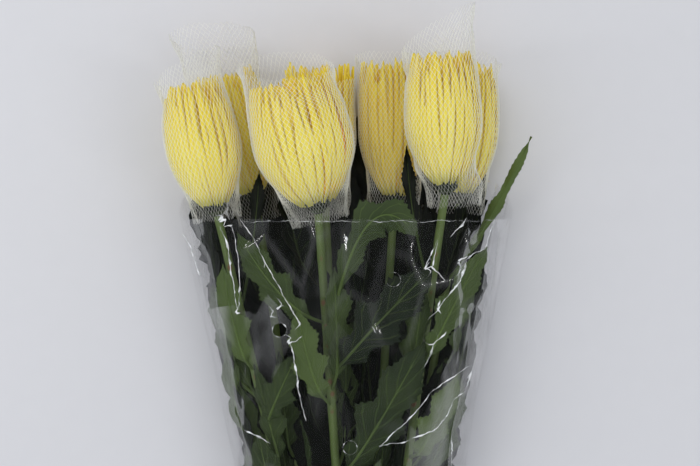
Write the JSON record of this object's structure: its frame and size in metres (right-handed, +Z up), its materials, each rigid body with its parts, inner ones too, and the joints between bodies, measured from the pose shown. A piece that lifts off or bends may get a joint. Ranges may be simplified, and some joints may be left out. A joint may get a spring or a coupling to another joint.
{
  "type": "disbud chrysanthemum bunch",
  "caption": "Sleeved bunch of yellow disbud chrysanthemums on leafy stems, each closed head in a white net tube, in a clear film cone with an elastic band.",
  "frame": {"origin": "middle of the box that holds the bunch, on the surface that it lies on", "axes": "+Y from the cut ends to the heads, +X to the right seen from above, +Z up"},
  "size_m": [0.2996, 0.7434, 0.136],
  "materials": {
    "foliage": "matt dark green leaf with paler stem",
    "petal": "satin lemon yellow, deeper yellow towards the heart",
    "net": "white knitted net, seen through",
    "film": "clear glossy film, seen through",
    "band": "matt tan rubber"
  },
  "bodies": {
    "root": {"leafy_stem_upper_left": "foliage", "petals_upper_left": "petal", "net_upper_left": "net", "leafy_stem_upper_middle": "foliage", "petals_upper_middle": "petal", "net_upper_middle": "net", "leafy_stem_upper_right": "foliage", "petals_upper_right": "petal", "net_upper_right": "net", "leafy_stem_lower_left": "foliage", "petals_lower_left": "petal", "net_lower_left": "net", "leafy_stem_lower_mid_left": "foliage", "petals_lower_mid_left": "petal", "net_lower_mid_left": "net", "leafy_stem_lower_mid_right": "foliage", "petals_lower_mid_right": "petal", "net_lower_mid_right": "net", "leafy_stem_lower_right": "foliage", "petals_lower_right": "petal", "net_lower_right": "net", "film_sleeve": "film", "elastic_band": "band"}
  },
  "joints": []
}
